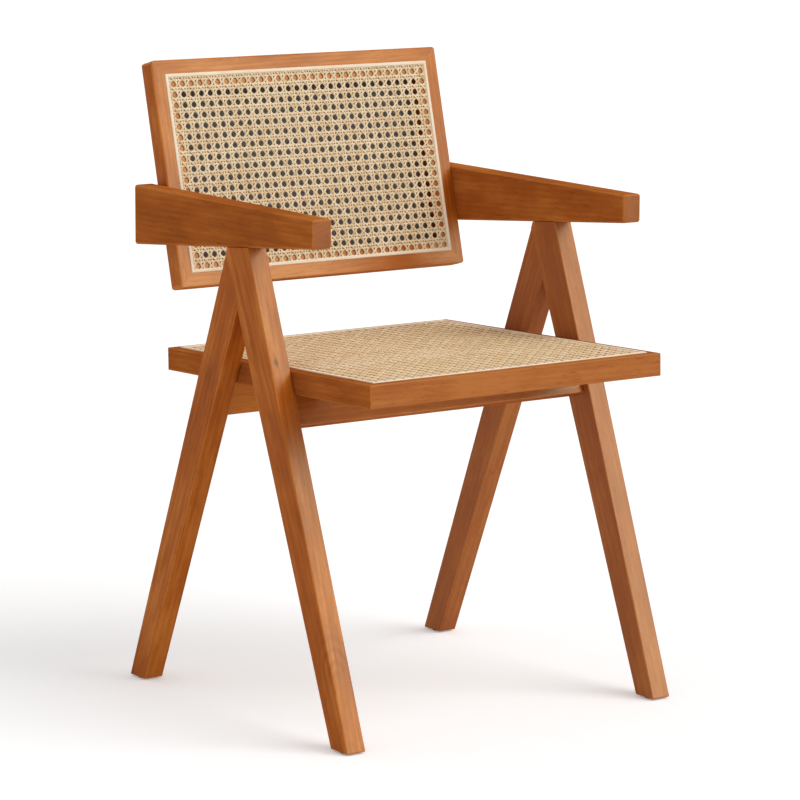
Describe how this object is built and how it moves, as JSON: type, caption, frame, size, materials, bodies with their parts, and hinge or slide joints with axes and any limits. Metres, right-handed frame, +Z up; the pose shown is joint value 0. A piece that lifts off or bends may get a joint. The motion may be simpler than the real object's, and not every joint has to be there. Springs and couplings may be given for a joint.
{
  "type": "dining armchair",
  "caption": "Dining armchair of stained hardwood with leaning A-shaped side frames, wedge armrests and a caned seat and back.",
  "frame": {"origin": "on the floor, under the middle of the chair's box", "axes": "+Z up, -Y towards the front of the seat, +X to the right as seen from the front"},
  "size_m": [0.494, 0.5024, 0.7895],
  "materials": {
    "stained_wood": "satin lacquer over stain",
    "pale_wood": "bare",
    "reed_spline": "bare reed",
    "cane": "natural cane skin",
    "lining_cloth": "matt dark grey cloth",
    "screw_steel": "zinc plated",
    "foot_glide": "moulded nylon"
  },
  "bodies": {
    "root": {"back_bottom_rail": "stained_wood", "back_bottom_rear_spline": "reed_spline", "back_bottom_spline": "reed_spline", "back_cane": "cane", "back_left_rear_spline": "reed_spline", "back_left_spline": "reed_spline", "back_left_stile": "stained_wood", "back_lining": "lining_cloth", "back_mitre_keys": "pale_wood", "back_rear_cane": "cane", "back_right_rear_spline": "reed_spline", "back_right_spline": "reed_spline", "back_right_stile": "stained_wood", "back_top_rail": "stained_wood", "back_top_rear_spline": "reed_spline", "back_top_spline": "reed_spline", "front_cross_rail": "stained_wood", "left_arm_dowels": "pale_wood", "left_armrest": "stained_wood", "left_back_dowels": "pale_wood", "left_front_glide": "foot_glide", "left_front_leg": "stained_wood", "left_leg_dowels": "pale_wood", "left_rear_glide": "foot_glide", "left_rear_leg": "stained_wood", "rear_cross_rail": "stained_wood", "right_arm_dowels": "pale_wood", "right_armrest": "stained_wood", "right_back_dowels": "pale_wood", "right_front_glide": "foot_glide", "right_front_leg": "stained_wood", "right_leg_dowels": "pale_wood", "right_rear_glide": "foot_glide", "right_rear_leg": "stained_wood", "seat_cane": "cane", "seat_front_rail": "stained_wood", "seat_front_spline": "reed_spline", "seat_left_rail": "stained_wood", "seat_left_spline": "reed_spline", "seat_mitre_keys": "pale_wood", "seat_rear_rail": "stained_wood", "seat_rear_spline": "reed_spline", "seat_right_rail": "stained_wood", "seat_right_spline": "reed_spline", "seat_screws": "screw_steel"}
  },
  "joints": []
}
